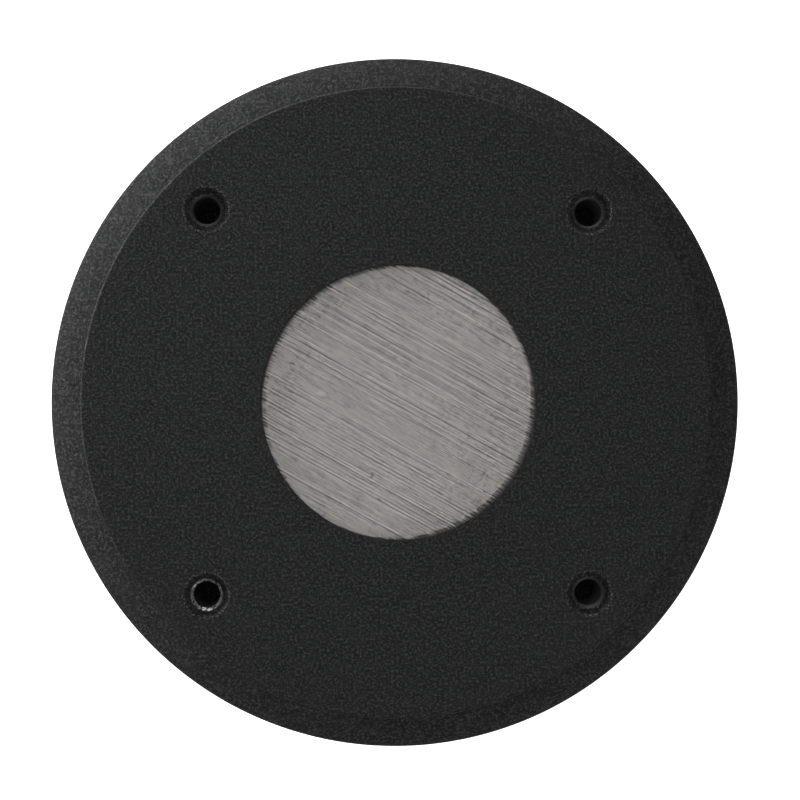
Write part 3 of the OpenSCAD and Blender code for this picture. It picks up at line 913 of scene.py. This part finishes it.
def terminal_moulding():
    """The block with a softened face, a well for each post and a seat for each screw."""
    size = block_high - block_low
    width, height, depth = size.x, size.z, size.y
    corner, edge = 2, 0.6
    rings = [(0.0, -depth)]
    for angle in np.linspace(0, math.pi / 2, ARC):
        rings.append((edge * (1 - math.cos(angle)), -edge * (1 - math.sin(angle))))
    solid = stack([
        [(x, y, z) for x, y in rounded_rectangle(width - 2 * inset, height - 2 * inset, corner - inset)]
        for inset, z in rings
    ])
    made = piece("terminal_moulding", *moved(solid, outward(0)))
    well = turned(rounded([
        (0, 1, 0), (WELL_R + 1.35, 1, 0), (WELL_R, -0.35, 0), (WELL_R, -WELL_DEPTH, 0.3), (0, -WELL_DEPTH, 0),
    ]), SMALL_ROUND)
    bore_r = POST_R + POST_GAP
    bore = turned([
        (0, 1 - WELL_DEPTH), (bore_r, 1 - WELL_DEPTH), (bore_r, -depth - 1), (0, -depth - 1),
    ], FINE_HOLE)
    seat_wall, hole = M3_HEAD_R + 0.2, M3_R + 0.1
    seat = turned([
        (0, 1), (seat_wall + 1.2, 1), (seat_wall, -0.2), (seat_wall, -M3_SEAT),
        (hole, -M3_SEAT), (hole, -depth - 1), (0, -depth - 1),
    ], 64)
    for side in (-1, 1):
        combine(made, moved(well, outward(side * post_centre.x)))
        combine(made, moved(bore, outward(side * post_centre.x)))
        combine(made, moved(seat, outward(side * block_screw_x)))
    smooth(made)
    hand_over(made, "block_plastic", "terminal_block")


def cross_recess(length, width, depth):
    """Two tapered blades that cut a cross recess below height 0."""
    blades = []
    for turn in (0, math.pi / 2):
        rings = []
        for z, share in ((1, 1.15), (-depth, 0.6)):
            x, y = length / 2 * share, width / 2
            rings.append([(-x, -y, z), (x, -y, z), (x, y, z), (-x, y, z)])
        blades.append(moved(stack(rings), Matrix.Rotation(turn, 4, "Z")))
    return blades


def block_cross_screws():
    """Pan head screws, drawn along +Z with the underside of the head at height 0."""
    shank = box("block_screws")[1].y - block_low.y - M3_SEAT
    outline = rounded([
        (0, M3_HEAD_H, 0), (M3_HEAD_R * 0.8, M3_HEAD_H * 0.97, 0.7), (M3_HEAD_R, 0, 0.12),
        (M3_R, 0, 0), (M3_R, -shank, 0.2), (0, -shank, 0),
    ])
    head = piece("pan_screw", *turned(outline, SMALL_ROUND))
    for blade in cross_recess(length=3.2, width=0.65, depth=1.1):
        combine(head, moved(blade, Matrix.Translation((0, 0, M3_HEAD_H))))
    one = solid_of(head)
    screws = [
        moved(one, outward(side * block_screw_x, M3_SEAT) @ Matrix.Rotation(turn, 4, "Z"))
        for side, turn in ((-1, 0.5), (1, 1.9))
    ]
    made = piece("block_cross_screws", *joined(*screws))
    smooth(made, 35)
    hand_over(made, "screw_zinc", "block_screws")


def drilled(name, solid, height, side):
    """A post or button drawn along +Z, drilled across for the wire and set on the block."""
    reach = 8
    drill = turned([(0, -reach), (WIRE_HOLE_R, -reach), (WIRE_HOLE_R, reach), (0, reach)], FINE_HOLE)
    made = piece("undrilled", *solid)
    lying = Matrix.Rotation(math.pi / 2, 4, "X")
    combine(made, moved(drill, Matrix.Translation((0, 0, height)) @ lying))
    made = piece(name, *moved(solid_of(made), outward(side * post_centre.x)))
    smooth(made)
    return made


def post(name, node, side):
    """A nickel plated post with a collar in the well, a cross hole, and a tail inside the cover."""
    low, high = box(node)
    tip, tail = block_low.y - low.y, high.y - block_low.y
    outline = rounded([
        (0, tip, 0), (POST_R, tip, 0.5), (POST_R, COLLAR_T - WELL_DEPTH, 0.1),
        (COLLAR_R, COLLAR_T - WELL_DEPTH, 0.15), (COLLAR_R, -WELL_DEPTH, 0.1),
        (POST_R, -WELL_DEPTH, 0), (POST_R, -tail, 0.3), (0, -tail, 0),
    ])
    made = drilled(name, turned(outline, SMALL_ROUND), WIRE_HOLE_LIFT, side)
    hand_over(made, "post_nickel", node)


def travel(joint):
    """How far a button moves, in millimetres."""
    return next(j["range_m"][1] for j in frame["joints"] if j["name"] == joint) / MM


def button(name, node, slot, joint, side):
    """A push button: a barrel with a ribbed head, a dished top and a cross hole for the wire."""
    low, high = box(node)
    lift, top = block_low.y - high.y, block_low.y - low.y
    barrel, head, head_t, bore = 4, 4.8, 1.6, POST_R + 0.06
    dish_r, dish, rim_r, cap_t = 2.4, 0.25, 3.4, 0.8
    outline = rounded([
        (0, top - dish, 0), (dish_r, top - dish, 0.8), (rim_r, top, 0.5), (head, top, 0.5),
        (head, top - head_t, 0.3), (barrel, top - head_t, 0.4), (barrel, lift, 0.3), (bore, lift, 0.2),
        (bore, top - cap_t, 0.1), (0, top - cap_t, 0),
    ])
    height = WIRE_HOLE_LIFT + travel(joint)
    made = drilled(name, turned(outline, SMALL_ROUND, knurl=(head - 0.03, 0.16)), height, side)
    body = next(j["child"] for j in frame["joints"] if j["name"] == joint)
    hand_over(made, slot, node, body=body)


def coil_spring(name, node, side):
    """A compression spring with closed ends, on a mesh of its own."""
    low, high = box(node)
    wire, sides = 0.25, 12
    turns, closed, steps = 4.6, 0.7, 28
    mean = (high.x - low.x) / 2 - wire
    bottom, top = block_low.y - high.y + wire, block_low.y - low.y - wire
    path = []
    for k in range(round(turns * steps) + 1):
        turn = k / steps
        share = min(1, max(0, (turn - closed) / (turns - 2 * closed)))
        rise = share * (0.75 + 0.25 * share * (3 - 2 * share))
        angle = 2 * math.pi * turn
        path.append((mean * math.cos(angle), mean * math.sin(angle), bottom + (top - bottom) * rise))
    made = piece(name, *moved(tube(path, wire, sides), outward(side * post_centre.x)))
    smooth(made, 60)
    hand_over(made, "spring_steel", node)
    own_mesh(made)


coated_plate()
bolt_threads()
woven_screen()
throat_cloth()
motor_rings()
cast_cover()
cap_screws()
terminal_moulding()
block_cross_screws()
post("red_post_turned", "red_post", 1)
post("black_post_turned", "black_post", -1)
button("red_cap", "red_button", "button_red", "red_press", 1)
button("black_cap", "black_button", "button_black", "black_press", -1)
coil_spring("red_coil", "red_spring", 1)
coil_spring("black_coil", "black_spring", -1)


# Floor and light

def soft_light(name, place, width, height, watts):
    """A softbox at a place in metres that faces the middle of the mounting face."""
    data = bpy.data.lights.new(name, "AREA")
    data.shape = "RECTANGLE"
    data.size, data.size_y, data.energy = width, height, watts
    light = bpy.data.objects.new(name, data)
    light.location = place
    light.rotation_mode = "QUATERNION"
    light.rotation_quaternion = (-Vector(place)).to_track_quat("-Z", "Y")
    bpy.context.scene.collection.objects.link(light)


floor_z = box("rear_cover")[0].z
reach = 3000
corners = [(x * reach, y * reach, floor_z) for x, y in ((-1, -1), (1, -1), (1, 1), (-1, 1))]
floor = piece("floor", corners, [(0, 1, 2, 3)])
floor.data.materials.append(stage_finish("pale_floor", 0.75).material)
floor.visible_glossy = False

wall_sides = 64
wall = [
    (reach * math.cos(a), reach * math.sin(a), z)
    for z in (floor_z, floor_z + reach) for a in (2 * math.pi * k / wall_sides for k in range(wall_sides))
]
backdrop = piece("backdrop", wall, grid_faces(2, wall_sides, close_rows=False))
backdrop.data.materials.append(stage_finish("pale_backdrop", 1).material)
backdrop.visible_glossy = backdrop.visible_diffuse = backdrop.visible_shadow = False

soft_light("key", (-0.66, 0.45, 0.015), width=1.6, height=0.16, watts=38)
soft_light("top", (-0.12, 0.88, 0.4), width=0.7, height=0.4, watts=5)
soft_light("fill", (0.5, -0.7, 0.12), width=0.8, height=0.3, watts=6)
soft_light("overhead", (-0.05, 0.1, 0.95), width=0.9, height=0.9, watts=4.2)

world = bpy.data.worlds.new("studio")
world.use_nodes = True
sky = world.node_tree.nodes["Background"].inputs
sky["Color"].default_value = (1, 1, 1, 1)
sky["Strength"].default_value = 0.34
bpy.context.scene.world = world
bpy.context.scene.view_settings.view_transform = "Standard"
